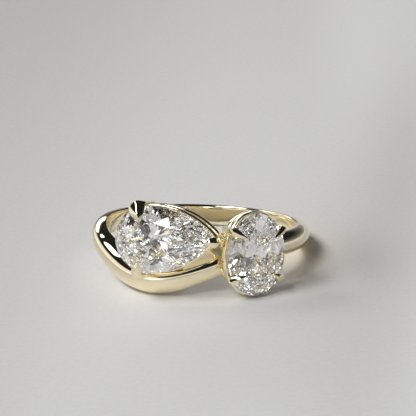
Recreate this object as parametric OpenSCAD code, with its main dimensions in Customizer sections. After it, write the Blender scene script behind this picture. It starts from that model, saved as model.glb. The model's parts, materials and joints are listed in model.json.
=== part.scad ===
// Toi et moi ring: a pear and an oval stone side by side on one gold band.
// The band crosses below the pear stone and rises again to the oval one.
// Millimetres, +Z up. The ring lies on its side as it does on a table, with the origin at the
// middle of the finger hole.

/* [Band] */
// Inside diameter of the ring
bore_d = 16.9; // [15:0.1:21]
// Width of the plain band, along the finger
band_w = 1.85; // [1.6:0.05:2.1]
// Thickness of the plain band at its crown
band_t = 1.35; // [1.1:0.05:1.8]
// Straight height of the band's sides, below the crown
band_edge = 0.4; // [0.25:0.05:0.6]
// Thickness of the band where it passes below the oval stone
bridge_t = 0.5; // [0.4:0.05:0.7]

/* [Crossover] */
// Width of the crossover where it is lowest
crossover_w = 2.8; // [2:0.05:3.4]
// Thickness of the crossover at its crown where it is lowest
crossover_t = 1.75; // [1.3:0.05:2]
// How far the crossover's crown runs outside the pear stone's lower edge
crossover_out = 1; // [0.7:0.05:1.3]
// How far the crossover's inner wall stands back from the finger, below the plain band's edge
crossover_ease = 0.03; // [0.02:0.01:0.1]

/* [Pear stone] */
// Length of the pear stone
pear_l = 8.85; // [7.5:0.05:10]
// Width of the pear stone
pear_w = 5.85; // [4.8:0.05:6.4]
// Height of the pear stone's middle above the band's middle
pear_lift = 0.95; // [0.4:0.05:1.2]
// Turn of the pear stone in its own plane
pear_lean = 5; // [-2:0.1:8]

/* [Oval stone] */
// Length of the oval stone
oval_l = 7.2; // [6:0.05:8]
// Width of the oval stone
oval_w = 5.35; // [4.6:0.05:5.8]
// Height of the oval stone's middle above the band's middle
oval_lift = -0.24; // [-0.6:0.02:0.2]
// Turn of the oval stone in its own plane
oval_lean = 0; // [-4:0.1:4]
// Place of the oval stone round the band, from the front
oval_turn = 24.7; // [21:0.1:28]
// Distance along the band from the pear stone's tip to the oval stone
stone_gap = 1.25; // [1:0.05:1.6]

/* [Cut] */
// Crown height of both stones
crown_h = 0.78; // [0.6:0.02:0.9]
// Table of both stones, as a share of their width
table_share = 0.56; // [0.5:0.01:0.62]
// Depth of both stones below the girdle, as a share of their width
pavilion_share = 0.43; // [0.4:0.005:0.45]
// Thickness of the girdle
girdle_t = 0.16; // [0.14:0.01:0.24]
// Clearance between the deeper culet and the finger
culet_clear = 0.6; // [0.55:0.05:1]

/* [Setting] */
// Clearance between a stone and the gold
seat_gap = 0.05; // [0.03:0.01:0.08]
// Thickness of the rails, in the plane of the stone
rail_t = 0.5; // [0.4:0.05:0.65]
// Height of the rails
rail_h = 0.55; // [0.4:0.05:0.7]
// How far the pear stone's lower rail is drawn in under its upper one
pear_inset = 0.2; // [0.1:0.05:0.4]
// How far the oval stone's lower rail is drawn in under its upper one
oval_inset = 0.55; // [0.3:0.05:0.7]
// How deep the lower rail reaches, measured from the finger hole's wall
rail_foot = 0.35; // [0.3:0.05:0.45]
// Width of the pear stone's upper head claw
upper_claw_w = 1.55; // [1:0.05:1.7]
// Width of the pear stone's lower head claw
lower_claw_w = 1; // [0.8:0.05:1.4]
// Thickness of the pear stone's two head claws
head_claw_t = 0.62; // [0.5:0.02:0.7]
// Reach of the pear stone's upper head claw over the crown
upper_claw_reach = 1.2; // [0.9:0.05:1.3]
// Reach of the pear stone's lower head claw over the crown
lower_claw_reach = 1.05; // [0.6:0.05:1.2]
// Width of the claw over the pear stone's tip
tip_claw_w = 0.95; // [0.7:0.05:1.1]
// Reach of the claw over the pear stone's tip
tip_claw_reach = 0.75; // [0.6:0.05:1]
// Width of the oval stone's claws
oval_claw_w = 0.68; // [0.6:0.02:1]
// Reach of the oval stone's claws over the crown
oval_claw_reach = 1.05; // [0.8:0.05:1.2]
// Thickness of the other claws
claw_t = 0.46; // [0.4:0.02:0.6]

/* [Hidden] */

bore_r = bore_d / 2;
gold = [0.86, 0.76, 0.52];
clear_stone = [0.9, 0.92, 0.94];

// Girdle plane of both stones, measured from the finger's axis
stone_rise = culet_clear + pavilion_share * max(pear_w, oval_w) + girdle_t / 2;
girdle_r = bore_r + stone_rise;
// The pear stone's place round the band follows from the oval stone's and the gap between them
pear_turn = oval_turn - atan(oval_w / 2 / girdle_r) - atan(pear_l / 2 / girdle_r)
    - stone_gap / girdle_r * 180 / PI;
crossover_drop = pear_w / 2 - pear_lift + crossover_out;
lower_rail_z = rail_foot - stone_rise;

// Band sections round the finger. Columns: angle from the front, drop as a share of
// crossover_drop, growth from the band's to the crossover's width and thickness
DROP = 1;
WIDTH = 2;
THICK = 3;
band_rows = [
    [-180, 0, 0, 0],
    [-118, 0, 0, 0],
    [-96, 0.08, 0.04, 0],
    [-80, 0.25, 0.14, 0.05],
    [-66, 0.45, 0.48, 0.2],
    [-52, 0.69, 0.85, 0.5],
    [-39, 0.9, 1, 0.85],
    [-26, 1, 1, 1],
    [-14, 0.92, 0.85, 1],
    [-2, 0.71, 0.65, 0.8],
    [10, 0.46, 0.45, 0.35],
    [19, 0.25, 0.15, 0],
    [28, 0.1, 0.16, 0],
    [40, 0.045, 0.24, 0],
    [60, 0.04, 0.22, 0],
    [80, 0.02, 0.1, 0],
    [105, 0, 0, 0],
    [180, 0, 0, 0]
];
band_steps = 90;
crown_steps = 12;

function mix(a, b, t) = a + (b - a) * t;
function slope(rows, i, col) =
    i <= 0 || i >= len(rows) - 1 ? 0
    : (rows[i + 1][col] - rows[i - 1][col]) / (rows[i + 1][0] - rows[i - 1][0]);
function row_below(rows, x) = len([for (r = rows) if (r[0] <= x) 1]) - 1;
// Smooth value of one column at x: a cubic through the rows
function at_row(rows, x, col) =
    let (i = min(row_below(rows, x), len(rows) - 2))
    let (a = rows[i], b = rows[i + 1], span = b[0] - a[0], t = (x - a[0]) / span)
    let (t2 = t * t, t3 = t2 * t)
    (2 * t3 - 3 * t2 + 1) * a[col] + (t3 - 2 * t2 + t) * span * slope(rows, i, col)
    + (3 * t2 - 2 * t3) * b[col] + (t3 - t2) * span * slope(rows, i + 1, col);

function band_mid(a) = -crossover_drop * at_row(band_rows, a, DROP);
function band_half(a) = mix(band_w, crossover_w, at_row(band_rows, a, WIDTH)) / 2;
function band_thick(a) = mix(band_t, crossover_t, at_row(band_rows, a, THICK))
    - (band_t - bridge_t) * exp(-pow((a - oval_turn) / 9, 4));
function on_ring(r, a, w) = [r * sin(a), -r * cos(a), w];

// Triangles of a loop of closed sections, each with m points
function loop_faces(n, m) = [
    for (i = [0 : n - 1], j = [0 : m - 1])
        let (a = i * m + j, b = i * m + (j + 1) % m)
        let (c = ((i + 1) % n) * m + j, d = ((i + 1) % n) * m + (j + 1) % m)
        each [[a, b, d], [a, d, c]]
];

// Half-round section of the band: [across, height above the finger hole's wall]
function band_profile(half, thick) = concat(
    [for (i = [0 : crown_steps])
        let (a = 180 * i / crown_steps, edge = min(band_edge, thick * 0.6))
        [-half * cos(a), edge + (thick - edge) * sin(a)]],
    [[half, -band_edge], [-half, -band_edge]]
);
function band_section(a) =
    let (r = bore_r + band_t / 2, step = 1)
    let (lean = atan((band_mid(a + step) - band_mid(a - step)) / (2 * step * PI / 180 * r)))
    [for (p = band_profile(band_half(a), band_thick(a)))
        on_ring(bore_r + p[1], a - p[0] * sin(lean) / r * 180 / PI, band_mid(a) + p[0] * cos(lean))];
function band_angle(i) = -179 + 360 * i / band_steps;

module band() {
    sections = [for (i = [0 : band_steps - 1]) band_section(band_angle(i))];
    polyhedron([for (s = sections) each s], loop_faces(len(sections), len(sections[0])), 10);
}

// Stone outlines are [point, outward normal] pairs, anticlockwise, seen from outside the ring
// Angles of the oval's claws, of the head claws either side of the pear's round end, and of the
// place on the oval's edge that the bridge from the pear's tip meets
oval_claw_at = 35;
upper_claw_at = 77;
lower_claw_at = 68;
bridge_at = 158;
// The claw at the pear's tip points in from a little below the stone's length
tip_claw_at = -10;
tip_claw_low = 0.25;
outline_n = 64;
mains = 8;

// The pear's head is half a circle, and each side is an arc from it to the tip
pear_r = pear_w / 2;
pear_head = pear_r - pear_l / 2;
pear_reach = pear_l / 2 - pear_head;
side_shift = (pear_reach * pear_reach - pear_r * pear_r) / pear_w;
side_r = pear_r + side_shift;
side_len = side_r * (90 - asin(side_shift / side_r)) * PI / 180;
head_len = pear_r * PI / 2;
pear_culet = [pear_head + 0.08 * pear_w, 0];

function polar(r, a) = [r * cos(a), r * sin(a)];
// Upper half of the pear grown by out, s along its edge from the tip
function pear_upper(s, out) =
    s < side_len
    ? let (tip = asin(side_shift / (side_r + out)), a = mix(tip, 90, s / side_len))
        [[pear_head, -side_shift] + polar(side_r + out, a), s < 0.001 ? [1, 0] : polar(1, a)]
    : let (a = 90 + (s - side_len) / pear_r * 180 / PI)
        [[pear_head, 0] + polar(pear_r + out, a), polar(1, a)];
function mirrored(p) = [[p[0][0], -p[0][1]], [p[1][0], -p[1][1]]];
// Share u of the way from the tip to the head, negative along the lower side
function pear_edge(u, out) =
    u >= 0 ? pear_upper(u * (side_len + head_len), out) : mirrored(pear_edge(-u, out));
function oval_edge(a, out) =
    let (n = [cos(a) / oval_w, sin(a) / oval_l], normal = n / norm(n))
    [[oval_w / 2 * cos(a), oval_l / 2 * sin(a)] + out * normal, normal];
function pear_outline(out) = [for (i = [0 : outline_n - 1])
    pear_edge(i <= outline_n / 2 ? 2 * i / outline_n : 2 * i / outline_n - 2, out)];
function oval_outline(out) = [for (i = [0 : outline_n - 1]) oval_edge(360 * i / outline_n, out)];
function points_of(outline) = [for (e = outline) e[0]];

module at_stone(turn, lift, lean) {
    rotate([0, 0, turn]) translate([0, -girdle_r, lift]) rotate([90, 0, 0]) rotate([0, 0, lean])
        children();
}

// Brilliant cut. A main facet's plane goes through its girdle point and its inner point, and lies
// along the girdle there. Neighbouring main facets meet at a set height.
girdle_z = girdle_t / 2;
meet_share = 0.5;
lower_meet_share = 0.78;
function flat3(p, z) = [p[0], p[1], z];
function plane_of(edge, z, inner) =
    let (along = [-edge[1][1], edge[1][0], 0], outer = flat3(edge[0], z))
    let (n = cross(along, inner - outer))
    [n / n[2], outer];
function plane_z(plane, p) = plane[1][2]
    - plane[0][0] * (p[0] - plane[1][0]) - plane[0][1] * (p[1] - plane[1][1]);
// Where two planes meet at height z
function meet_at(a, b, z) =
    let (ka = a[0] * a[1] - z, kb = b[0] * b[1] - z)
    let (det = a[0][0] * b[0][1] - a[0][1] * b[0][0])
    [(ka * b[0][1] - kb * a[0][1]) / det, (kb * a[0][0] - ka * b[0][0]) / det, z];
function plane_through(a, b, c) = let (n = cross(b - a, c - a)) [n / n[2], a];

// Girdle heights that follow the planes between the meeting points and the girdle's main points
function scalloped(outline, meets, z) =
    let (n = len(outline), step = n / mains, half = step / 2)
    [for (i = [0 : n - 1])
        let (k = floor(i / step), from = floor(i / half) * half, to = (from + half) % n)
        let (plane = plane_through(meets[k], flat3(outline[from][0], z), flat3(outline[to][0], z)))
        flat3(outline[i][0], plane_z(plane, outline[i][0]))];

module brilliant(outline, middle, width) {
    n = len(outline);
    step = n / mains;
    half = step / 2;
    top_z = girdle_z + crown_h;
    foot_z = -girdle_z - pavilion_share * width;
    main_edges = [for (k = [0 : mains - 1]) outline[k * step]];
    table = [for (e = main_edges) flat3(middle + table_share * (e[0] - middle), top_z)];
    culet = flat3(middle, foot_z);
    crown = [for (k = [0 : mains - 1]) plane_of(main_edges[k], girdle_z, table[k])];
    pavilion = [for (k = [0 : mains - 1]) plane_of(main_edges[k], -girdle_z, culet)];
    upper = [for (k = [0 : mains - 1])
        meet_at(crown[k], crown[(k + 1) % mains], girdle_z + crown_h * meet_share)];
    lower = [for (k = [0 : mains - 1])
        meet_at(pavilion[k], pavilion[(k + 1) % mains],
            mix(-girdle_z, foot_z, lower_meet_share))];
    rim = scalloped(outline, upper, girdle_z);
    hem = scalloped(outline, lower, -girdle_z);
    t = 0;
    u = mains;
    r = 2 * mains;
    h = r + n;
    l = h + n;
    c = l + mains;
    faces = concat(
        [[for (k = [mains - 1 : -1 : 0]) t + k]],
        [for (k = [0 : mains - 1]) let (next = (k + 1) % mains)
            each [[t + k, t + next, u + k], [t + next, u + next, r + next * step, u + k]]],
        [for (k = [0 : mains - 1], side = [0, 1])
            [u + k, for (i = [half : -1 : 0]) r + (k * step + side * half + i) % n]],
        [for (i = [0 : n - 1]) let (j = (i + 1) % n) each [[r + i, r + j, h + j], [r + i, h + j, h + i]]],
        [for (k = [0 : mains - 1], side = [0, 1])
            [l + k, for (i = [0 : half]) h + (k * step + side * half + i) % n]],
        [for (k = [0 : mains - 1]) [c, l + k, h + ((k + 1) % mains) * step, l + (k + 1) % mains]]
    );
    polyhedron(concat(table, upper, rim, hem, lower, [culet]), faces, 10);
}

// Rails follow the stone's edge, a set distance outside it
rail_out = 0.12;
pavilion_slope = 2.25 * pavilion_share;
upper_rail_z = -girdle_z - (rail_t - rail_out) * pavilion_slope - 2 * seat_gap - rail_h;
module rail(outer, inner, z) {
    translate([0, 0, z]) linear_extrude(rail_h) difference() {
        polygon(points_of(outer));
        polygon(points_of(inner));
    }
}

// A claw stands along the outward normal, with x out from the stone's edge. Its inner face keeps
// clear of the girdle and follows the crown's slope.
function crown_slope(edge, middle) = crown_h / ((1 - table_share) * ((edge[0] - middle) * edge[1]));
claw_section = [[-0.5, 0], [-0.5, 0.4], [-0.26, 0.72], [0, 1], [0.26, 0.72], [0.5, 0.4], [0.5, 0]];
// Rows along a claw: [inner point, outer point, width as a share], each point as [x, z]
function claw_rows(t, reach, slope, foot_in, foot_out, foot_share) =
    let (c = seat_gap, g = girdle_z)
    let (over = function (share, thick) let (z = g + 3 * c + slope * reach * share)
        [[-reach * share, z], [-reach * share + 0.1 * t, z + thick * t]])
    [
        [foot_in, foot_out, foot_share],
        [mix(foot_in, [c, -g], 0.6), mix(foot_out, [c + 0.9 * t, -g], 0.6), mix(foot_share, 1, 0.6)],
        [[c, -g], [c + 0.95 * t, -g], 1],
        [[c, g + c], [c + 0.95 * t, g + 0.5 * t], 1],
        [over(0.04, 1)[0], [0.5 * t, g + 0.92 * t], 1],
        [over(0.35, 1)[0], over(0.35, 0.9)[1], 0.8],
        [over(0.7, 1)[0], over(0.7, 0.62)[1], 0.46],
        [over(1, 1)[0], over(1, 0.25)[1], 0.1]
    ];
module claw(width, t, reach, slope, foot_in, foot_out, foot_share) {
    rows = claw_rows(t, reach, slope, foot_in, foot_out, foot_share);
    n = len(rows);
    m = len(claw_section);
    points = [for (row = rows, s = claw_section)
        let (p = mix(row[0], row[1], s[1])) [p[0], s[0] * row[2] * width, p[1]]];
    sides = [for (i = [0 : n - 2], j = [0 : m - 1])
        let (a = i * m + j, b = i * m + (j + 1) % m) each [[a, b + m, b], [a, a + m, b + m]]];
    ends = [[for (j = [0 : m - 1]) j], [for (j = [m - 1 : -1 : 0]) (n - 1) * m + j]];
    polyhedron(points, concat(sides, ends), 10);
}
module on_edge(edge) {
    translate(flat3(edge[0], 0)) rotate([0, 0, atan2(edge[1][1], edge[1][0])]) children();
}
// A claw's foot in the lower rail: its inner and outer points and its share of the claw's width
function rail_seat(inset) =
    let (x = min(seat_gap, rail_out - inset - claw_t / 4), z = lower_rail_z + rail_h / 8)
    [[x, z], [x + 0.9 * claw_t, z], 0.85];
// The lower head claw grows out of the crossover, from its crown to its inner edge
crossover_seat = let (low = crossover_t - stone_rise)
    [[seat_gap, low - 1.9 * claw_t], [crossover_out + 0.4 * claw_t, low - 0.9 * claw_t], 1.2];

module oval_setting() {
    seat = rail_seat(oval_inset);
    low = rail_out - oval_inset;
    rail(oval_outline(rail_out), oval_outline(rail_out - rail_t), upper_rail_z);
    rail(oval_outline(low), oval_outline(low - rail_t), lower_rail_z);
    for (a = [oval_claw_at, 180 - oval_claw_at, 180 + oval_claw_at, 360 - oval_claw_at])
        let (edge = oval_edge(a, 0))
        on_edge(edge)
            claw(oval_claw_w, claw_t, oval_claw_reach, crown_slope(edge, [0, 0]),
                seat[0], seat[1], seat[2]);
}

module pear_setting() {
    seat = rail_seat(pear_inset);
    low = rail_out - pear_inset;
    tip = [[pear_l / 2, -tip_claw_low], polar(1, tip_claw_at)];
    rail(pear_outline(rail_out), pear_outline(rail_out - rail_t), upper_rail_z);
    rail(pear_outline(low), pear_outline(low - rail_t), lower_rail_z);
    on_edge(tip)
        claw(tip_claw_w, claw_t, tip_claw_reach, crown_slope(tip, pear_culet),
            seat[0], seat[1], seat[2]);
    for (c = [
        [180 - upper_claw_at, upper_claw_w, upper_claw_reach, seat],
        [180 + lower_claw_at, lower_claw_w, lower_claw_reach, crossover_seat]
    ])
        let (edge = [[pear_head, 0] + polar(pear_r, c[0]), polar(1, c[0])])
        on_edge(edge)
            claw(c[1], head_claw_t, c[2], crown_slope(edge, pear_culet),
                c[3][0], c[3][1], c[3][2]);
}

// Web between the pear's upper rail, along its lower side near the tip, and the crossover
web_pear_at = [-0.02, -0.34];
web_band_at = [14, -8];
web_t = 0.3;
module web() {
    hull() {
        at_stone(pear_turn, pear_lift, pear_lean)
            for (u = web_pear_at)
                translate(flat3(pear_edge(u, rail_out - web_t / 2)[0], upper_rail_z + web_t))
                sphere(d = web_t, $fn = 16);
        for (a = web_band_at)
            translate(on_ring(bore_r + band_thick(a) - web_t, a, band_mid(a) + band_half(a) * 0.5))
            sphere(d = web_t, $fn = 16);
    }
}

// Bridge between the claw at the pear's tip and the oval's basket
module bridge() {
    tall = upper_rail_z - lower_rail_z;
    hull() {
        at_stone(pear_turn, pear_lift, pear_lean)
            translate([pear_l / 2 + claw_t / 2, 0, lower_rail_z + rail_h / 2])
            cylinder(d = claw_t, h = tall, $fn = 24);
        at_stone(oval_turn, oval_lift, oval_lean)
            translate(flat3(oval_edge(bridge_at, rail_out - rail_t / 2)[0],
                lower_rail_z + rail_h * 0.75))
            cylinder(d = claw_t, h = tall, $fn = 24);
    }
}

// The ring rests on the crossover's lowest edge, the lower end of the oval's upper rail and the
// band's rim at the back, where the rim touches the plane through the other two
low_at = -27;
rest_tries = 4;
function from_stone(p, turn, lift, lean) =
    let (x = p[0] * cos(lean) - p[1] * sin(lean), y = p[0] * sin(lean) + p[1] * cos(lean))
    let (r = girdle_r + p[2])
    [r * sin(turn) + x * cos(turn), -r * cos(turn) + x * sin(turn), lift + y];
rest_front = on_ring(bore_r, low_at, band_mid(low_at) - band_half(low_at));
rest_side = from_stone([0, -oval_l / 2 - rail_out, upper_rail_z], oval_turn, oval_lift, oval_lean);
function rest_rim(a) = let (t = 180 / crown_steps)
    on_ring(bore_r + band_edge + (band_t - band_edge) * sin(t), a, -band_w / 2 * cos(t));
function rest_up(a, tries) =
    let (n = cross(rest_side - rest_front, rest_rim(a) - rest_front), up = n / norm(n))
    tries == 0 ? up : rest_up(atan2(-up[0], up[1]), tries - 1);
up = rest_up(180, rest_tries);
module at_rest() {
    rotate(a = acos(up[2]), v = cross(up, [0, 0, 1])) children();
}

module ring_mount() {
    color(gold) at_rest() difference() {
        union() {
            band();
            at_stone(pear_turn, pear_lift, pear_lean) pear_setting();
            at_stone(oval_turn, oval_lift, oval_lean) oval_setting();
            bridge();
            web();
        }
        cylinder(r = bore_r, h = 3 * bore_d, center = true, $fn = 96);
        translate([0, 0, -band_w / 2 - bore_d])
            cylinder(r = bore_r + crossover_ease, h = bore_d, $fn = 96);
    }
}
module pear_stone() {
    color(clear_stone) at_rest() at_stone(pear_turn, pear_lift, pear_lean)
        brilliant(pear_outline(0), pear_culet, pear_w);
}
module oval_stone() {
    color(clear_stone) at_rest() at_stone(oval_turn, oval_lift, oval_lean)
        brilliant(oval_outline(0), [0, 0], oval_w);
}

ring_mount();
pear_stone();
oval_stone();
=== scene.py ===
import json
import math

import bmesh
import bpy
from mathutils import Matrix, Vector


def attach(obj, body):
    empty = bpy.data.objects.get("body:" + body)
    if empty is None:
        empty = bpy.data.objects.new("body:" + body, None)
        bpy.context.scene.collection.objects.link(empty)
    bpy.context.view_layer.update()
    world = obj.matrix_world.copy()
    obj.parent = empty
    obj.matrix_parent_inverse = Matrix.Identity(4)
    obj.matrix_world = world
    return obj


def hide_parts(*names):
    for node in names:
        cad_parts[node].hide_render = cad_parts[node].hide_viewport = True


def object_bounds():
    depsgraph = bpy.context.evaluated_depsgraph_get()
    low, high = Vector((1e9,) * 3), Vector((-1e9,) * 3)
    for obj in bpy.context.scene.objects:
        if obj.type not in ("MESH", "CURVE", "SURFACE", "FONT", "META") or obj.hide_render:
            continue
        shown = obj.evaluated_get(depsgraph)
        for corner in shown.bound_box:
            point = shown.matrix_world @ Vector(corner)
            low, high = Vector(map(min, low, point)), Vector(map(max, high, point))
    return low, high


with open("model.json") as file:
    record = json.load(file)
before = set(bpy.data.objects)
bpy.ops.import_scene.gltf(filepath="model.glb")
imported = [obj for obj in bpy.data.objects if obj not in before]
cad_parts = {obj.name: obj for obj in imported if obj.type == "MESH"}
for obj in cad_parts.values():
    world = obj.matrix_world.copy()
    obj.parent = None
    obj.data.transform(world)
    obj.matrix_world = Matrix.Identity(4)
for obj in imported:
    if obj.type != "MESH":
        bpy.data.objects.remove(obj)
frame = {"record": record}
cad_box = [list(corner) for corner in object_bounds()]

# A toi et moi ring in polished gold, laid on its side on a pale table, with a pear and an oval
# stone. Sizes are in millimetres and in the ring's own frame: x to the right, y away from the
# stones, z along the finger. place() lays a finished piece down and brings it to metres.
MM = 0.001
record = frame["record"]
finger_bore = next(mount for mount in record["mounts"] if mount["name"] == "finger_bore")
BORE_R = finger_bore["dims"]["r_mm"]
finger_axis = Vector(finger_bore["axis"]).normalized()
LAID = Vector((0, 0, 1)).rotation_difference(finger_axis).to_matrix().to_4x4()

# Band
BAND_W = 1.85
BAND_T = 1.35
BAND_EDGE = 0.4
EDGE_SHARE = 0.6
BRIDGE_T = 0.5
BRIDGE_SPREAD = 9
CROSSOVER_W = 2.8
CROSSOVER_T = 1.75
CROSSOVER_OUT = 1.0
BAND_STEPS = 480
BAND_SECTION_STEPS = 64
SWEEP_SECTION_STEPS = 24
BAND_CORNER = 0.25

# Stones
PEAR_L = 8.85
PEAR_W = 5.85
PEAR_LIFT = 0.95
PEAR_LEAN = 5
OVAL_L = 7.2
OVAL_W = 5.35
OVAL_LIFT = -0.24
OVAL_LEAN = 0
OVAL_TURN = 24.7
STONE_GAP = 1.25
CROWN_H = 0.78
TABLE_SHARE = 0.56
PAVILION_SHARE = 0.43
GIRDLE_T = 0.16
CULET_CLEAR = 0.6
CULET_SHIFT = 0.08

# Setting
SEAT_GAP = 0.05
RAIL_T = 0.5
RAIL_H = 0.55
RAIL_OUT = 0.12
PEAR_INSET = 0.2
OVAL_INSET = 0.55
RAIL_FOOT = 0.35
RAIL_STEPS = 128
RAIL_CORNER = 0.35
CLAW_T = 0.46
UPPER_CLAW_W = 1.55
LOWER_CLAW_W = 1
HEAD_CLAW_T = 0.62
UPPER_CLAW_REACH = 1.2
LOWER_CLAW_REACH = 1.05
TIP_CLAW_W = 0.95
TIP_CLAW_REACH = 0.75
OVAL_CLAW_W = 0.68
OVAL_CLAW_REACH = 1.05
OVAL_CLAW_AT = 35
UPPER_CLAW_AT = 77
LOWER_CLAW_AT = 68
BRIDGE_AT = 158
TIP_CLAW_AT = -10
TIP_CLAW_LOW = 0.25
CLAW_STEPS = 6
BRIDGE_STEPS = 4

# Worked out from these as the solids are
STONE_RISE = CULET_CLEAR + PAVILION_SHARE * max(PEAR_W, OVAL_W) + GIRDLE_T / 2
GIRDLE_R = BORE_R + STONE_RISE
PEAR_TURN = OVAL_TURN - math.degrees(
    math.atan(OVAL_W / 2 / GIRDLE_R) + math.atan(PEAR_L / 2 / GIRDLE_R) + STONE_GAP / GIRDLE_R
)
CROSSOVER_DROP = PEAR_W / 2 - PEAR_LIFT + CROSSOVER_OUT
GIRDLE_Z = GIRDLE_T / 2
# A little steeper than the pavilions are, so that the upper rails clear them
PAVILION_SLOPE = 2.25 * PAVILION_SHARE
UPPER_RAIL_Z = -GIRDLE_Z - (RAIL_T - RAIL_OUT) * PAVILION_SLOPE - 2 * SEAT_GAP - RAIL_H
LOWER_RAIL_Z = RAIL_FOOT - STONE_RISE

# Band sections round the finger: angle from the front, drop as a share of CROSSOVER_DROP, and
# growth from the band's to the crossover's width and thickness
BAND_ROWS = [
    {"at": -180, "drop": 0, "width": 0, "thick": 0},
    {"at": -118, "drop": 0, "width": 0, "thick": 0},
    {"at": -96, "drop": 0.08, "width": 0.04, "thick": 0},
    {"at": -80, "drop": 0.25, "width": 0.14, "thick": 0.05},
    {"at": -66, "drop": 0.45, "width": 0.48, "thick": 0.2},
    {"at": -52, "drop": 0.69, "width": 0.85, "thick": 0.5},
    {"at": -39, "drop": 0.9, "width": 1, "thick": 0.85},
    {"at": -26, "drop": 1, "width": 1, "thick": 1},
    {"at": -14, "drop": 0.92, "width": 0.85, "thick": 1},
    {"at": -2, "drop": 0.71, "width": 0.65, "thick": 0.8},
    {"at": 10, "drop": 0.46, "width": 0.45, "thick": 0.35},
    {"at": 19, "drop": 0.25, "width": 0.15, "thick": 0},
    {"at": 28, "drop": 0.1, "width": 0.16, "thick": 0},
    {"at": 40, "drop": 0.045, "width": 0.24, "thick": 0},
    {"at": 60, "drop": 0.04, "width": 0.22, "thick": 0},
    {"at": 80, "drop": 0.02, "width": 0.1, "thick": 0},
    {"at": 105, "drop": 0, "width": 0, "thick": 0},
    {"at": 180, "drop": 0, "width": 0, "thick": 0},
]


def mix(start, end, share):
    return start + (end - start) * share


def sin(degrees):
    return math.sin(math.radians(degrees))


def cos(degrees):
    return math.cos(math.radians(degrees))


def polar(radius, degrees):
    return Vector((radius * cos(degrees), radius * sin(degrees)))


def flat(point, z):
    return Vector((point[0], point[1], z))


def row_slope(rows, i, column):
    if i <= 0 or i >= len(rows) - 1:
        return 0
    before, after = rows[i - 1], rows[i + 1]
    return (after[column] - before[column]) / (after["at"] - before["at"])


def at_row(rows, angle, column):
    """Smooth value of one column at an angle: a cubic through the rows."""
    i = max(k for k in range(len(rows) - 1) if rows[k]["at"] <= angle)
    before, after = rows[i], rows[i + 1]
    span = after["at"] - before["at"]
    t = (angle - before["at"]) / span
    return (
        (2 * t**3 - 3 * t**2 + 1) * before[column]
        + (t**3 - 2 * t**2 + t) * span * row_slope(rows, i, column)
        + (3 * t**2 - 2 * t**3) * after[column]
        + (t**3 - t**2) * span * row_slope(rows, i + 1, column)
    )


def softened(rows, angle, column, reach=5, samples=11):
    """at_row() averaged over a few degrees, so that the polish shows no kink at a row."""
    total = weights = 0
    for k in range(samples):
        offset = mix(-reach, reach, k / (samples - 1))
        weight = cos(90 * offset / reach) + 0.001
        total += weight * at_row(rows, (angle + offset + 180) % 360 - 180, column)
        weights += weight
    return total / weights


def band_middle(angle):
    return -CROSSOVER_DROP * softened(BAND_ROWS, angle, "drop")


def band_half(angle):
    return mix(BAND_W, CROSSOVER_W, softened(BAND_ROWS, angle, "width")) / 2


def band_thick(angle):
    below_oval = math.exp(-(((angle - OVAL_TURN) / BRIDGE_SPREAD) ** 4))
    whole = mix(BAND_T, CROSSOVER_T, softened(BAND_ROWS, angle, "thick"))
    return whole - (BAND_T - BRIDGE_T) * below_oval


def band_lean(angle, step=1):
    """How steeply the band runs up or down there, as an angle in radians."""
    rise = band_middle(angle + step) - band_middle(angle - step)
    return math.atan(rise / (2 * math.radians(step) * (BORE_R + BAND_T / 2)))


def ring_point(radius, angle, height):
    return Vector((radius * sin(angle), -radius * cos(angle), height))


# Outlines of the stones, as points and outward normals, anticlockwise from outside the ring. The
# pear's head is half a circle, and each of its sides is an arc from there to the tip.
PEAR_R = PEAR_W / 2
PEAR_HEAD = PEAR_R - PEAR_L / 2
pear_reach = PEAR_L / 2 - PEAR_HEAD
SIDE_SHIFT = (pear_reach**2 - PEAR_R**2) / PEAR_W
SIDE_R = PEAR_R + SIDE_SHIFT
SIDE_LEN = SIDE_R * math.radians(90 - math.degrees(math.asin(SIDE_SHIFT / SIDE_R)))
HEAD_LEN = PEAR_R * math.pi / 2
PEAR_CULET = Vector((PEAR_HEAD + CULET_SHIFT * PEAR_W, 0))
OVAL_CULET = Vector((0, 0))


def pear_edge(share, out=0):
    """A share of the way from the pear's tip round to its head, negative along the lower side."""
    if share < 0:
        point, normal = pear_edge(-share, out)
        return Vector((point.x, -point.y)), Vector((normal.x, -normal.y))
    run = share * (SIDE_LEN + HEAD_LEN)
    if run < SIDE_LEN:
        tip = math.degrees(math.asin(SIDE_SHIFT / (SIDE_R + out)))
        angle = mix(tip, 90, run / SIDE_LEN)
        normal = Vector((1, 0)) if run < 0.001 else polar(1, angle)
        return Vector((PEAR_HEAD, -SIDE_SHIFT)) + polar(SIDE_R + out, angle), normal
    angle = 90 + math.degrees((run - SIDE_LEN) / PEAR_R)
    return Vector((PEAR_HEAD, 0)) + polar(PEAR_R + out, angle), polar(1, angle)


def oval_edge(share, out=0):
    """A share of a whole turn round the oval, from its right-hand end."""
    angle = 360 * share
    normal = Vector((cos(angle) / OVAL_W, sin(angle) / OVAL_L)).normalized()
    point = Vector((OVAL_W / 2 * cos(angle), OVAL_L / 2 * sin(angle)))
    return point + out * normal, normal


def pear_round(i, count, out=0):
    return pear_edge(2 * i / count if 2 * i <= count else 2 * i / count - 2, out)


def oval_round(i, count, out=0):
    return oval_edge(i / count, out)


def stone_place(turn, lift, lean):
    """From a stone's frame, with z out of its table and x along its length, to the ring's."""
    return (
        Matrix.Rotation(math.radians(turn), 4, "Z")
        @ Matrix.Translation((0, -GIRDLE_R, lift))
        @ Matrix.Rotation(math.radians(90), 4, "X")
        @ Matrix.Rotation(math.radians(lean), 4, "Z")
    )


RING = Matrix.Identity(4)
PEAR = stone_place(PEAR_TURN, PEAR_LIFT, PEAR_LEAN)
OVAL = stone_place(OVAL_TURN, OVAL_LIFT, OVAL_LEAN)


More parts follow.
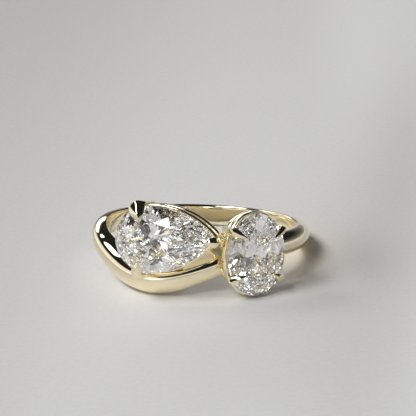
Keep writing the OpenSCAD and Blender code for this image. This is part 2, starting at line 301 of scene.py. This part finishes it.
class Value:
    """A node socket. Python's operators on it add Math nodes to its tree."""

    def __init__(self, nodes, socket):
        self.nodes = nodes
        self.socket = socket

    def math(self, operation, *others):
        return self.nodes.add("ShaderNodeMath", {"operation": operation}, [self, *others])

    def __add__(self, other):
        return self.math("ADD", other)

    def __sub__(self, other):
        return self.math("SUBTRACT", other)

    def __mul__(self, other):
        return self.math("MULTIPLY", other)

    def __truediv__(self, other):
        return self.math("DIVIDE", other)

    def __pow__(self, other):
        return self.math("POWER", other)

    def __rsub__(self, other):
        return self.nodes.number(other).math("SUBTRACT", self)

    def __neg__(self):
        return self.math("MULTIPLY", -1)

    __radd__ = __add__
    __rmul__ = __mul__


class Nodes:
    """A node tree, and the one method that adds a node to it."""

    def __init__(self, tree):
        self.tree = tree

    def add(self, kind, settings=None, inputs=None, output=0):
        """Adds a node. Settings are set first. Inputs go by socket name, or by place in a list."""
        node = self.tree.nodes.new(kind)
        for name, setting in (settings or {}).items():
            if name == "ramp":
                stops = node.color_ramp.elements
                while len(stops) < len(setting):
                    stops.new(1)
                for stop, (position, grey) in zip(stops, setting):
                    stop.position = position
                    stop.color = (grey, grey, grey, 1)
            else:
                setattr(node, name, setting)
        named = inputs.items() if isinstance(inputs, dict) else enumerate(inputs or [])
        for name, value in named:
            if isinstance(value, Value):
                self.link(value, node.inputs[name])
            else:
                node.inputs[name].default_value = value
        return Value(self, node.outputs[output]) if node.outputs else node

    def number(self, number):
        value = self.add("ShaderNodeValue")
        value.socket.default_value = number
        return value

    def link(self, value, socket):
        self.tree.links.new(value.socket, socket)


def new_tree(name, inputs):
    """A geometry tree with named inputs. Returns its nodes and the values of its inputs."""
    tree = bpy.data.node_groups.new(name, "GeometryNodeTree")
    tree.interface.new_socket("Geometry", in_out="OUTPUT", socket_type="NodeSocketGeometry")
    for label, kind in [("Geometry", "NodeSocketGeometry"), *inputs]:
        tree.interface.new_socket(label, in_out="INPUT", socket_type=kind)
    nodes = Nodes(tree)
    sockets = nodes.add("NodeGroupInput").socket.node.outputs
    return nodes, {socket.name: Value(nodes, socket) for socket in sockets if socket.name}


def attribute(nodes, name, kind="FLOAT"):
    return nodes.add("GeometryNodeInputNamedAttribute", {"data_type": kind}, {"Name": name})


def rounded_section(nodes, belly, inner_corner, outer_corner):
    """Across, from -1 to 1, and height, from 0 to 1, of a closed section whose corners get
    sharper as their power falls. It is widest at belly."""
    turn = attribute(nodes, "turn")
    up = turn.math("SINE")
    outer = up.math("GREATER_THAN", 0)
    power = inner_corner + (outer_corner - inner_corner) * outer
    along = turn.math("COSINE")
    across = along.math("SIGN") * (along.math("ABSOLUTE") ** power)
    rise = up.math("ABSOLUTE") ** power
    return across, belly + rise * (outer - belly)


def swept(nodes, start, caps):
    """Curve to Mesh from the path's rows with a round section, whose angle is kept as turn."""
    steps = start["Section steps"]
    circle = nodes.add("GeometryNodeCurvePrimitiveCircle", None, {"Resolution": steps})
    index = nodes.add("GeometryNodeInputIndex")
    marked = nodes.add(
        "GeometryNodeStoreNamedAttribute", {"data_type": "FLOAT", "domain": "POINT"},
        {"Geometry": circle, "Name": "turn", "Value": index * (2 * math.pi) / steps},
    )
    path = nodes.add("GeometryNodeMeshToCurve", None, {"Mesh": start["Geometry"]})
    return nodes.add(
        "GeometryNodeCurveToMesh", None,
        {"Curve": path, "Profile Curve": marked, "Fill Caps": caps},
    )


def finish_tree(nodes, geometry, material):
    smooth = nodes.add("GeometryNodeSetShadeSmooth", None, {"Geometry": geometry})
    whole = nodes.add("GeometryNodeRealizeInstances", None, {"Geometry": smooth})
    done = nodes.add("GeometryNodeSetMaterial", None, {"Geometry": whole, "Material": material})
    nodes.add("NodeGroupOutput", None, [done])
    return nodes.tree


def band_tree():
    """The band: a half-round section round the finger hole, bent sideways along its path."""
    nodes, start = new_tree("half_round_band", [
        ("Bore radius", "NodeSocketFloat"),
        ("Side height", "NodeSocketFloat"),
        ("Inner corner", "NodeSocketFloat"),
        ("Section steps", "NodeSocketInt"),
        ("Material", "NodeSocketMaterial"),
    ])
    tube = swept(nodes, start, False)
    thick = attribute(nodes, "thick")
    side = start["Side height"].math("MINIMUM", thick * EDGE_SHARE)
    across, height = rounded_section(nodes, side / thick, start["Inner corner"], nodes.number(1))
    lean = attribute(nodes, "lean")
    across = across * attribute(nodes, "half")
    radius = start["Bore radius"] + height * thick
    middle_radius = start["Bore radius"] + BAND_T / 2
    angle = attribute(nodes, "angle") - across * lean.math("SINE") / middle_radius
    position = nodes.add("ShaderNodeCombineXYZ", None, [
        radius * angle.math("SINE"),
        -(radius * angle.math("COSINE")),
        attribute(nodes, "middle") + across * lean.math("COSINE"),
    ])
    shaped = nodes.add("GeometryNodeSetPosition", None, {"Geometry": tube, "Position": position})
    return finish_tree(nodes, shaped, start["Material"])


def sweep_tree():
    """A section swept between an inner and an outer line, with a vector to its side."""
    nodes, start = new_tree("section_between_lines", [
        ("Belly", "NodeSocketFloat"),
        ("Inner corner", "NodeSocketFloat"),
        ("Outer corner", "NodeSocketFloat"),
        ("Section steps", "NodeSocketInt"),
        ("Material", "NodeSocketMaterial"),
    ])
    tube = swept(nodes, start, True)
    across, height = rounded_section(
        nodes, start["Belly"], start["Inner corner"], start["Outer corner"]
    )
    inner = attribute(nodes, "inner", "FLOAT_VECTOR")
    outer = attribute(nodes, "outer", "FLOAT_VECTOR")
    side = attribute(nodes, "side", "FLOAT_VECTOR")
    between = nodes.add(
        "ShaderNodeMix", {"data_type": "VECTOR", "clamp_factor": False},
        {0: height, 4: inner, 5: outer}, output=1,
    )
    sideways = nodes.add(
        "ShaderNodeVectorMath", {"operation": "SCALE"}, {"Vector": side, "Scale": across}
    )
    position = nodes.add("ShaderNodeVectorMath", {"operation": "ADD"}, [between, sideways])
    shaped = nodes.add("GeometryNodeSetPosition", None, {"Geometry": tube, "Position": position})
    return finish_tree(nodes, shaped, start["Material"])


def repeat_tree():
    """One claw set at each point of the stone's edge, turned to face out of it."""
    nodes, start = new_tree("claws_on_edge", [
        ("Claw", "NodeSocketObject"),
        ("Material", "NodeSocketMaterial"),
    ])
    pattern = nodes.add("GeometryNodeObjectInfo", None, {"Object": start["Claw"]}, output=4)
    facing = nodes.add("ShaderNodeCombineXYZ", None, {"Z": attribute(nodes, "facing")})
    turned = nodes.add("FunctionNodeEulerToRotation", None, [facing])
    copies = nodes.add(
        "GeometryNodeInstanceOnPoints", None,
        {"Points": start["Geometry"], "Instance": pattern, "Rotation": turned},
    )
    return finish_tree(nodes, copies, start["Material"])


def linked(name, mesh):
    """A new object in the scene."""
    piece = bpy.data.objects.new(name, mesh)
    bpy.context.scene.collection.objects.link(piece)
    return piece


def path_mesh(name, rows, closed):
    """A line of points, each with the numbers and vectors of its row as attributes."""
    mesh = bpy.data.meshes.new(name)
    count = len(rows)
    edges = [(i, (i + 1) % count) for i in range(count if closed else count - 1)]
    mesh.from_pydata([row["point"] for row in rows], edges, [])
    for column, first in rows[0].items():
        if column == "point":
            continue
        vector = isinstance(first, Vector)
        kind, field = ("FLOAT_VECTOR", "vector") if vector else ("FLOAT", "value")
        numbers = [x for row in rows for x in (row[column] if vector else [row[column]])]
        mesh.attributes.new(column, kind, "POINT").data.foreach_set(field, numbers)
    return mesh


def built(name, rows, closed, tree, values):
    """The plain mesh object that a geometry tree makes from a path, its modifier gone."""
    raw = linked(name + "_path", path_mesh(name, rows, closed))
    recipe = raw.modifiers.new("shape", "NODES")
    recipe.node_group = tree
    for item in tree.interface.items_tree:
        if item.item_type == "SOCKET" and item.in_out == "INPUT" and item.name in values:
            recipe[item.identifier] = values[item.name]
    evaluated = raw.evaluated_get(bpy.context.evaluated_depsgraph_get())
    made = linked(name, bpy.data.meshes.new_from_object(evaluated))
    bpy.data.objects.remove(raw)
    return made


def place(piece, from_frame):
    """Lays a piece down from the ring's or a stone's own frame, in metres, faces outwards."""
    piece.data.transform(LAID @ Matrix.Scale(MM, 4) @ from_frame)
    shape = bmesh.new()
    shape.from_mesh(piece.data)
    bmesh.ops.remove_doubles(shape, verts=shape.verts, dist=1e-8)
    bmesh.ops.recalc_face_normals(shape, faces=shape.faces)
    shape.to_mesh(piece.data)
    shape.free()
    return piece


def joined(name, parts):
    """One object from several whose meshes are in the same frame."""
    shape = bmesh.new()
    for part in parts:
        shape.from_mesh(part.data)
    mesh = bpy.data.meshes.new(name)
    shape.to_mesh(mesh)
    shape.free()
    mesh.materials.append(parts[0].data.materials[0])
    for part in parts:
        bpy.data.objects.remove(part)
    return linked(name, mesh)


def new_material(name):
    """A material, its nodes, its shader and the Object coordinates."""
    material = bpy.data.materials.new(name)
    material.use_nodes = True
    nodes = Nodes(material.node_tree)
    shader = material.node_tree.nodes["Principled BSDF"]
    return material, nodes, shader, nodes.add("ShaderNodeTexCoord", output=3)


def gold_material():
    """Pale yellow gold, polished, with faint wipe marks and a slight swell in its surface."""
    material, nodes, shader, where = new_material("polished_gold")
    wipe = nodes.add("ShaderNodeTexNoise", None, {"Vector": where, "Scale": 900, "Detail": 3})
    swell = nodes.add("ShaderNodeTexNoise", None, {"Vector": where, "Scale": 350, "Detail": 1})
    colour = nodes.add(
        "ShaderNodeMix", {"data_type": "RGBA"},
        {0: wipe, 6: (0.96, 0.855, 0.61, 1), 7: (0.975, 0.88, 0.65, 1)}, output=2,
    )
    bump = nodes.add(
        "ShaderNodeBump", None, {"Strength": 0.12, "Distance": 0.00002, "Height": swell}
    )
    nodes.link(colour, shader.inputs["Base Color"])
    nodes.link(wipe * 0.06 + 0.02, shader.inputs["Roughness"])
    nodes.link(bump, shader.inputs["Normal"])
    shader.inputs["Metallic"].default_value = 1
    return material


def stone_material():
    """Clear and colourless, with the refraction of diamond."""
    material, nodes, shader, where = new_material("clear_stone")
    cloud = nodes.add("ShaderNodeTexNoise", None, {"Vector": where, "Scale": 400})
    colour = nodes.add(
        "ShaderNodeMix", {"data_type": "RGBA"},
        {0: cloud, 6: (0.99, 0.99, 0.985, 1), 7: (1, 1, 1, 1)}, output=2,
    )
    nodes.link(colour, shader.inputs["Base Color"])
    shader.inputs["Roughness"].default_value = 0
    shader.inputs["IOR"].default_value = 2.417
    shader.inputs["Transmission Weight"].default_value = 1
    return material


def table_material():
    """A pale table with painted light: darker far off and at the left, lighter at the right. Faint
    in its colour are a painted soft shadow in a band at the right, painted light in front of the
    ring, the painted soft end of its shadow and the gold's warm glow painted beside it."""
    material, nodes, shader, where = new_material("pale_table")
    across = nodes.add("ShaderNodeSeparateXYZ", None, [where], output=0)
    along = nodes.add("ShaderNodeSeparateXYZ", None, [where], output=1)

    def ramp(value, start, end):
        """0 at start and 1 at end, in metres from the ring."""
        return nodes.add(
            "ShaderNodeMapRange", {"interpolation_type": "SMOOTHSTEP"},
            {"Value": value, "From Min": start, "From Max": end},
        )

    def patch(x, y, wide, deep, slant=0.0):
        """1 at a place on the table, fading out round it."""
        off_x, off_y = (across - along * slant - x) / wide, (along - y) / deep
        return (-(off_x * off_x) - off_y * off_y).math("EXPONENT")

    # Painted falloff of the light: lighter nearer the ring, away from the left edge and at the
    # right
    nearer = ramp(along, 0.12, 0.0)
    inwards = ramp(across, -0.026, along * 0.15 - 0.004)
    rightwards = ramp(across, 0.01, 0.02)
    # Painted shade and light: a soft shadow band at the right, light in front of the ring, the soft
    # end of the ring's shadow, and the gold's warm glow beside the ring
    painted_shadow_band = patch(0.0175, 0.015, 0.006, 0.045, 0.12)
    bright = patch(-0.002, -0.014, 0.007, 0.005)
    shade = patch(0.0138, -0.003, 0.0035, 0.007)
    glow = patch(0.0085, 0.0, 0.004, 0.008)
    grain = nodes.add("ShaderNodeTexNoise", None, {"Vector": where, "Scale": 2200, "Detail": 3})
    pale = (
        nearer * 0.3 + inwards * 0.4 + grain * 0.3 + rightwards * 0.25
        - painted_shadow_band * 0.7 - shade * 0.4 + bright * 0.15
    )
    stone = nodes.add(
        "ShaderNodeMix", {"data_type": "RGBA"},
        {0: pale, 6: (0.56, 0.552, 0.54, 1), 7: (0.88, 0.872, 0.868, 1)}, output=2,
    )
    colour = nodes.add(
        "ShaderNodeMix", {"data_type": "RGBA", "blend_type": "MULTIPLY"},
        {0: glow, 6: stone, 7: (1.06, 0.98, 0.85, 1)}, output=2,
    )
    bump = nodes.add(
        "ShaderNodeBump", None, {"Strength": 0.2, "Distance": 0.00005, "Height": grain}
    )
    nodes.link(colour, shader.inputs["Base Color"])
    nodes.link(bump, shader.inputs["Normal"])
    shader.inputs["Roughness"].default_value = 0.7
    return material


GOLD = gold_material()
STONE = stone_material()
BAND_TREE = band_tree()
SWEEP_TREE = sweep_tree()
REPEAT_TREE = repeat_tree()


def band():
    rows = []
    for i in range(BAND_STEPS):
        angle = mix(-180, 180, i / BAND_STEPS)
        rows.append({
            "point": ring_point(BORE_R, angle, 0),
            "angle": math.radians(angle),
            "middle": band_middle(angle),
            "half": band_half(angle),
            "thick": band_thick(angle),
            "lean": band_lean(angle),
        })
    return built("band", rows, True, BAND_TREE, {
        "Bore radius": BORE_R,
        "Side height": BAND_EDGE,
        "Inner corner": BAND_CORNER,
        "Section steps": BAND_SECTION_STEPS,
        "Material": GOLD,
    })


def sweep(name, rows, closed=False, belly=0.5, corners=(0.5, 0.5)):
    """A gold piece through rows of inner and outer points. Corners are the inner and outer power:
    a square one is near 0, a round one 1, and above that the side comes to an edge."""
    return built(name, rows, closed, SWEEP_TREE, {
        "Belly": belly,
        "Inner corner": corners[0],
        "Outer corner": corners[1],
        "Section steps": SWEEP_SECTION_STEPS,
        "Material": GOLD,
    })


def rail(name, around, out, z):
    """A rail round a stone's edge, from out to a rail's thickness inside that."""
    rows = []
    for i in range(RAIL_STEPS):
        outer = flat(around(i, RAIL_STEPS, out)[0], z + RAIL_H / 2)
        inner = flat(around(i, RAIL_STEPS, out - RAIL_T)[0], z + RAIL_H / 2)
        rows.append({"point": outer, "inner": inner, "outer": outer,
                     "side": Vector((0, 0, RAIL_H / 2))})
    return sweep(name, rows, True, corners=(RAIL_CORNER, RAIL_CORNER))


def basket_rails(name, around, inset):
    """The upper rail below a stone's girdle and the lower one, drawn in by its inset."""
    return joined(name, [
        rail("upper", around, RAIL_OUT, UPPER_RAIL_Z),
        rail("lower", around, RAIL_OUT - inset, LOWER_RAIL_Z),
    ])


def crown_slope(edge, culet):
    point, normal = edge
    return CROWN_H / ((1 - TABLE_SHARE) * (point - culet).dot(normal))


def claw_sections(thick, reach, slope, foot):
    """Rows up a claw: inner and outer point, as (out, up), and share of its full width."""
    gap, girdle = SEAT_GAP, GIRDLE_Z

    def over(share, height):
        """The inner and outer point at a share of the way over the crown."""
        x = -reach * share
        z = girdle + 3 * gap + slope * reach * share
        return Vector((x, z)), Vector((x + 0.1 * thick, z + height * thick))

    foot_in, foot_out, foot_share = foot
    below = Vector((gap, -girdle))
    return [
        (foot_in, foot_out, foot_share),
        (foot_in.lerp(below, 0.6), foot_out.lerp(Vector((gap + 0.9 * thick, -girdle)), 0.6),
         mix(foot_share, 1, 0.6)),
        (below, Vector((gap + 0.95 * thick, -girdle)), 1),
        (Vector((gap, girdle + gap)), Vector((gap + 0.95 * thick, girdle + 0.5 * thick)), 1),
        (over(0.04, 1)[0], Vector((0.5 * thick, girdle + 0.92 * thick)), 1),
        (*over(0.35, 0.9), 0.8),
        (*over(0.7, 0.62), 0.46),
        (*over(1, 0.25), 0.1),
    ]


def spline(values, i, t):
    """The smooth curve through a list of numbers, share t of the way from i to the next."""
    before, here, after, later = [
        values[min(max(k, 0), len(values) - 1)] for k in range(i - 1, i + 3)
    ]
    return here + t / 2 * (
        after - before
        + t * (2 * before - 5 * here + 4 * after - later)
        + t**2 * (3 * (here - after) + later - before)
    )


def claw(name, width, thick, reach, slope, foot):
    """A claw that stands at the origin, with x out of the stone's edge and z up."""
    sections = claw_sections(thick, reach, slope, foot)
    columns = list(zip(*[(*inner, *outer, share) for inner, outer, share in sections]))
    last = len(sections) - 1
    rows = []
    for step in range(last * CLAW_STEPS + 1):
        i = min(step // CLAW_STEPS, last - 1)
        t = (step - i * CLAW_STEPS) / CLAW_STEPS
        inner_x, inner_z, outer_x, outer_z, share = [spline(column, i, t) for column in columns]
        inner = Vector((inner_x, 0, inner_z))
        rows.append({"point": inner, "inner": inner, "outer": Vector((outer_x, 0, outer_z)),
                     "side": Vector((0, share * width / 2, 0))})
    return sweep(name, rows, belly=0.4, corners=(0.5, 1.7))


def on_edge(piece, edge):
    """Turns a claw from its own frame to face out of a stone's edge there."""
    point, normal = edge
    turn = Matrix.Rotation(math.atan2(normal.y, normal.x), 4, "Z")
    piece.data.transform(Matrix.Translation(flat(point, 0)) @ turn)
    return piece


def rail_foot(inset):
    """A claw's foot in the lower rail: its inner and outer point and its share of the width."""
    x = min(SEAT_GAP, RAIL_OUT - inset - CLAW_T / 4)
    z = LOWER_RAIL_Z + RAIL_H / 8
    return Vector((x, z)), Vector((x + 0.9 * CLAW_T, z)), 0.85


def crossover_foot():
    """The lower head claw's foot, which grows out of the crossover."""
    low = CROSSOVER_T - STONE_RISE
    return (Vector((SEAT_GAP, low - 1.9 * CLAW_T)),
            Vector((CROSSOVER_OUT + 0.4 * CLAW_T, low - 0.9 * CLAW_T)), 1.2)


def oval_setting():
    rails = basket_rails("oval_rails", oval_round, OVAL_INSET)
    edges = [oval_edge(angle / 360) for angle in (
        OVAL_CLAW_AT, 180 - OVAL_CLAW_AT, 180 + OVAL_CLAW_AT, 360 - OVAL_CLAW_AT)]
    pattern = claw("claw", OVAL_CLAW_W, CLAW_T, OVAL_CLAW_REACH,
                   crown_slope(edges[0], OVAL_CULET), rail_foot(OVAL_INSET))
    rows = [{"point": flat(point, 0), "facing": math.atan2(normal.y, normal.x)}
            for point, normal in edges]
    claws = built("oval_claws", rows, False, REPEAT_TREE, {"Claw": pattern, "Material": GOLD})
    bpy.data.objects.remove(pattern)
    return [place(rails, OVAL), place(claws, OVAL)]


def pear_setting():
    rails = basket_rails("pear_rails", pear_round, PEAR_INSET)
    foot = rail_foot(PEAR_INSET)
    tip = (Vector((PEAR_L / 2, -TIP_CLAW_LOW)), polar(1, TIP_CLAW_AT))
    upper, lower = [
        (Vector((PEAR_HEAD, 0)) + polar(PEAR_R, angle), polar(1, angle))
        for angle in (180 - UPPER_CLAW_AT, 180 + LOWER_CLAW_AT)
    ]
    claws = [
        on_edge(claw("claw", width, thick, reach, crown_slope(edge, PEAR_CULET), seat), edge)
        for edge, width, thick, reach, seat in (
            (tip, TIP_CLAW_W, CLAW_T, TIP_CLAW_REACH, foot),
            (upper, UPPER_CLAW_W, HEAD_CLAW_T, UPPER_CLAW_REACH, foot),
            (lower, LOWER_CLAW_W, HEAD_CLAW_T, LOWER_CLAW_REACH, crossover_foot()),
        )
    ]
    return [place(rails, PEAR), place(joined("pear_claws", claws), PEAR)]


# Web between the pear's upper rail, along its lower side near the tip, and the crossover, half way
# from the crossover's middle to its upper edge
WEB_FROM = {"pear_at": -0.02, "band_at": 14}
WEB_TO = {"pear_at": -0.34, "band_at": -8}
WEB_UP_BAND = 0.5
WEB_T = 0.3
WEB_STEPS = 24


def web():
    rows = []
    for i in range(WEB_STEPS + 1):
        share = i / WEB_STEPS
        pear_at = mix(WEB_FROM["pear_at"], WEB_TO["pear_at"], share)
        angle = mix(WEB_FROM["band_at"], WEB_TO["band_at"], share)
        edge = pear_edge(pear_at, RAIL_OUT - WEB_T / 2)[0]
        on_rail = PEAR @ flat(edge, UPPER_RAIL_Z + WEB_T)
        on_band = ring_point(BORE_R + band_thick(angle) - WEB_T, angle,
                             band_middle(angle) + band_half(angle) * WEB_UP_BAND)
        across = (on_band - on_rail).cross(Vector((0, 0, 1)).cross(on_rail)).normalized()
        rows.append({"point": on_rail.lerp(on_band, 0.5), "inner": on_band, "outer": on_rail,
                     "side": across * WEB_T / 2})
    return place(sweep("web", rows, corners=(0.4, 0.4)), RING)


def bridge():
    """Between the claw at the pear's tip and the oval's rails."""
    oval_edge_there = oval_edge(BRIDGE_AT / 360, RAIL_OUT - RAIL_T / 2)[0]
    pear_low = Vector((PEAR_L / 2 + CLAW_T / 2, 0, LOWER_RAIL_Z + RAIL_H / 2))
    oval_low = flat(oval_edge_there, LOWER_RAIL_Z + RAIL_H * 0.75)
    up = Vector((0, 0, UPPER_RAIL_Z - LOWER_RAIL_Z))
    pear_foot, pear_top = PEAR @ pear_low, PEAR @ (pear_low + up)
    oval_foot, oval_top = OVAL @ oval_low, OVAL @ (oval_low + up)
    side = (oval_foot - pear_foot).cross(pear_top - pear_foot).normalized() * CLAW_T / 2
    rows = []
    for i in range(BRIDGE_STEPS + 1):
        inner = pear_foot.lerp(oval_foot, i / BRIDGE_STEPS)
        outer = pear_top.lerp(oval_top, i / BRIDGE_STEPS)
        rows.append({"point": inner, "inner": inner, "outer": outer, "side": side})
    return place(sweep("tip_bridge", rows), RING)


# Brilliant cut
MAINS = 8
OUTLINE = 64
MEET_SHARE = 0.5
LOWER_MEET_SHARE = 0.78


def plane(point, z, across):
    """A plane through a point at height z, square to across: its slopes and its height at 0."""
    slope_x, slope_y = -across.x / across.z, -across.y / across.z
    return slope_x, slope_y, z - slope_x * point.x - slope_y * point.y


def facet_plane(edge, z, inner):
    """The plane of a main facet, through the stone's edge at height z and an inner point."""
    point, normal = edge
    return plane(point, z, Vector((-normal.y, normal.x, 0)).cross(inner - flat(point, z)))


def where_meet(first, second, z):
    """Where two facet planes meet at height z."""
    rise, other_rise = z - first[2], z - second[2]
    spread = first[0] * second[1] - first[1] * second[0]
    x = (rise * second[1] - other_rise * first[1]) / spread
    y = (first[0] * other_rise - second[0] * rise) / spread
    return Vector((x, y, z))


def scalloped(outline, meets, z):
    """Girdle points on the planes between the meeting points and the girdle's main points."""
    count = len(outline)
    half = count // MAINS // 2
    rim = []
    for i, (point, normal) in enumerate(outline):
        start = i // half * half
        before, after = [flat(outline[k % count][0], z) for k in (start, start + half)]
        meet = meets[i // (2 * half)]
        slope_x, slope_y, height = plane(meet, meet.z, (before - meet).cross(after - meet))
        rim.append(flat(point, slope_x * point.x + slope_y * point.y + height))
    return rim


def brilliant(name, around, culet, width, from_frame):
    """A whole cut stone with flat facets, from its outline."""
    outline = [around(i, OUTLINE) for i in range(OUTLINE)]
    step, half = OUTLINE // MAINS, OUTLINE // MAINS // 2
    top_z, tip_z = GIRDLE_Z + CROWN_H, -GIRDLE_Z - PAVILION_SHARE * width
    mains = [outline[k * step] for k in range(MAINS)]
    corners = [flat(culet + TABLE_SHARE * (point - culet), top_z) for point, normal in mains]
    tip = flat(culet, tip_z)
    crown = [facet_plane(edge, GIRDLE_Z, corner) for edge, corner in zip(mains, corners)]
    pavilion = [facet_plane(edge, -GIRDLE_Z, tip) for edge in mains]
    stars, lows = [
        [where_meet(planes[k], planes[(k + 1) % MAINS], z) for k in range(MAINS)]
        for planes, z in (
            (crown, GIRDLE_Z + CROWN_H * MEET_SHARE),
            (pavilion, mix(-GIRDLE_Z, tip_z, LOWER_MEET_SHARE)),
        )
    ]
    rim = scalloped(outline, stars, GIRDLE_Z)
    hem = scalloped(outline, lows, -GIRDLE_Z)
    shape = bmesh.new()
    corners, stars, rim, hem, lows = [
        [shape.verts.new(point) for point in points] for points in (corners, stars, rim, hem, lows)
    ]
    tip = shape.verts.new(tip)
    shape.faces.new(corners)
    for k in range(MAINS):
        after = (k + 1) % MAINS
        shape.faces.new([corners[k], stars[k], corners[after]])
        shape.faces.new([corners[after], stars[k], rim[after * step], stars[after]])
        shape.faces.new([tip, lows[after], hem[after * step], lows[k]])
        for side in (0, 1):
            run = [(k * step + side * half + i) % OUTLINE for i in range(half + 1)]
            shape.faces.new([stars[k], *[rim[i] for i in run]])
            shape.faces.new([lows[k], *[hem[i] for i in reversed(run)]])
    for i in range(OUTLINE):
        after = (i + 1) % OUTLINE
        shape.faces.new([rim[i], hem[i], hem[after], rim[after]])
    mesh = bpy.data.meshes.new(name)
    shape.to_mesh(mesh)
    shape.free()
    mesh.materials.append(STONE)
    return place(linked(name, mesh), from_frame)


for piece in [place(band(), RING), *pear_setting(), *oval_setting(), web(), bridge()]:
    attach(piece, "root")
    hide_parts("ring_mount")

for name, around, culet, width, from_frame in (
    ("pear_brilliant", pear_round, PEAR_CULET, PEAR_W, PEAR),
    ("oval_brilliant", oval_round, OVAL_CULET, OVAL_W, OVAL),
):
    piece = brilliant(name, around, culet, width, from_frame)
    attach(piece, "root")
    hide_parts(name.replace("brilliant", "stone"))

# Camera, at the photo's angle to the ring. Places in the picture are in its pixels
PICTURE = 416
SENSOR = 36
CAMERA_AWAY = 220
CAMERA_ABOVE = 9.7
CAMERA_ROLL = 1.73
PIXELS_PER_MM = 11.08
RING_SEEN_AT = Vector((200.7, 229.7))


def set_camera():
    back = Vector((0, -cos(CAMERA_ABOVE), sin(CAMERA_ABOVE)))
    level = Vector((1, 0, 0))
    up = back.cross(level)
    right = level * cos(CAMERA_ROLL) + up * sin(CAMERA_ROLL)
    up = up * cos(CAMERA_ROLL) - level * sin(CAMERA_ROLL)
    eye = back * CAMERA_AWAY
    aside = (Vector((PICTURE / 2, PICTURE / 2)) - RING_SEEN_AT) / PIXELS_PER_MM
    back = (eye - right * aside.x + up * aside.y).normalized()
    right = up.cross(back).normalized()
    up = back.cross(right)
    turned = Matrix((right, up, back)).transposed().to_4x4()
    lens = bpy.data.cameras.new("camera")
    lens.sensor_width = SENSOR
    lens.lens = PIXELS_PER_MM * CAMERA_AWAY / PICTURE * SENSOR
    lens.clip_start = 0.01
    lens.clip_end = 10
    camera = linked("camera", lens)
    camera.matrix_world = LAID @ Matrix.Translation(eye * MM) @ turned
    bpy.context.scene.camera = camera


set_camera()

TABLE_SIZE = 2
TABLE_Z = cad_box[0][2]
bpy.ops.mesh.primitive_plane_add(size=TABLE_SIZE, location=(0, 0, TABLE_Z))
floor = bpy.context.active_object
floor.name = "table"
floor.data.materials.append(table_material())


# The room, as soft boxes on a dark sky: the lamp at the front left, weak fills at the right and low
# at the front, three windows behind at the left, and the low wall at the left. Azimuth 0 is the
# camera's side, and 90 the right. Wide and high are half sizes, as sines of the angle from the
# middle. Soft is the share that fades out.
BOX_COLUMNS = ("azimuth", "elevation", "turn", "wide", "high", "soft", "light")
BOXES = [
    (-46, 50, -20, 0.34, 0.15, 0.3, 11.3),
    (75, 32, 0, 0.4, 0.16, 0.8, 0.8),
    (-20, 10, 0, 0.8, 0.1, 0.6, 0.6),
    (-119, 39, 8, 0.22, 0.15, 0.2, 4.4),
    (-150, 30, -30, 0.12, 0.05, 0.3, 3),
    (-165, 17, 0, 0.26, 0.1, 0.4, 2.5),
    (-95, 4, 0, 0.85, 0.22, 0.6, 0.8),
]
BOX_POWER = 4
# Haze over the horizon, as height and light, and the light that comes from everywhere
HAZE = [(0, 0.3), (0.12, 0.1), (0.3, 0.0)]
ROOM = 0.016


def dot(nodes, first, second):
    return nodes.add(
        "ShaderNodeVectorMath", {"operation": "DOT_PRODUCT"}, [first, second], output=1
    )


def soft_box(nodes, towards, box):
    """1 inside a rounded box on the sky and 0 outside it."""
    azimuth, elevation = box["azimuth"], box["elevation"]
    out = Vector((sin(azimuth) * cos(elevation), -cos(azimuth) * cos(elevation), sin(elevation)))
    turned = Matrix.Rotation(math.radians(box["turn"]), 3, out)
    across = turned @ Vector((cos(azimuth), sin(azimuth), 0))
    upwards = across.cross(out)
    far = (
        (dot(nodes, towards, across) / box["wide"]).math("ABSOLUTE") ** BOX_POWER
        + (dot(nodes, towards, upwards) / box["high"]).math("ABSOLUTE") ** BOX_POWER
    )
    inside = nodes.add(
        "ShaderNodeMapRange", {"interpolation_type": "SMOOTHSTEP"},
        {"Value": far, "From Min": 1 + box["soft"], "From Max": 1 - box["soft"]},
    )
    return inside * dot(nodes, towards, out).math("GREATER_THAN", 0)


def set_room():
    world = bpy.data.worlds.new("room")
    bpy.context.scene.world = world
    world.use_nodes = True
    nodes = Nodes(world.node_tree)
    towards = nodes.add("ShaderNodeTexCoord")
    height = nodes.add("ShaderNodeSeparateXYZ", None, [towards], output=2)
    sky = nodes.add("ShaderNodeValToRGB", {"ramp": HAZE}, [height]) + ROOM
    for row in BOXES:
        box = dict(zip(BOX_COLUMNS, row))
        sky = sky + soft_box(nodes, towards, box) * box["light"]
    nodes.link(sky, world.node_tree.nodes["Background"].inputs["Color"])


set_room()

# Deep bounces, for the light that runs round inside the stones
BOUNCES = 32
scene = bpy.context.scene
scene.cycles.max_bounces = BOUNCES
scene.cycles.glossy_bounces = BOUNCES
scene.cycles.transmission_bounces = BOUNCES
scene.view_settings.view_transform = "Standard"
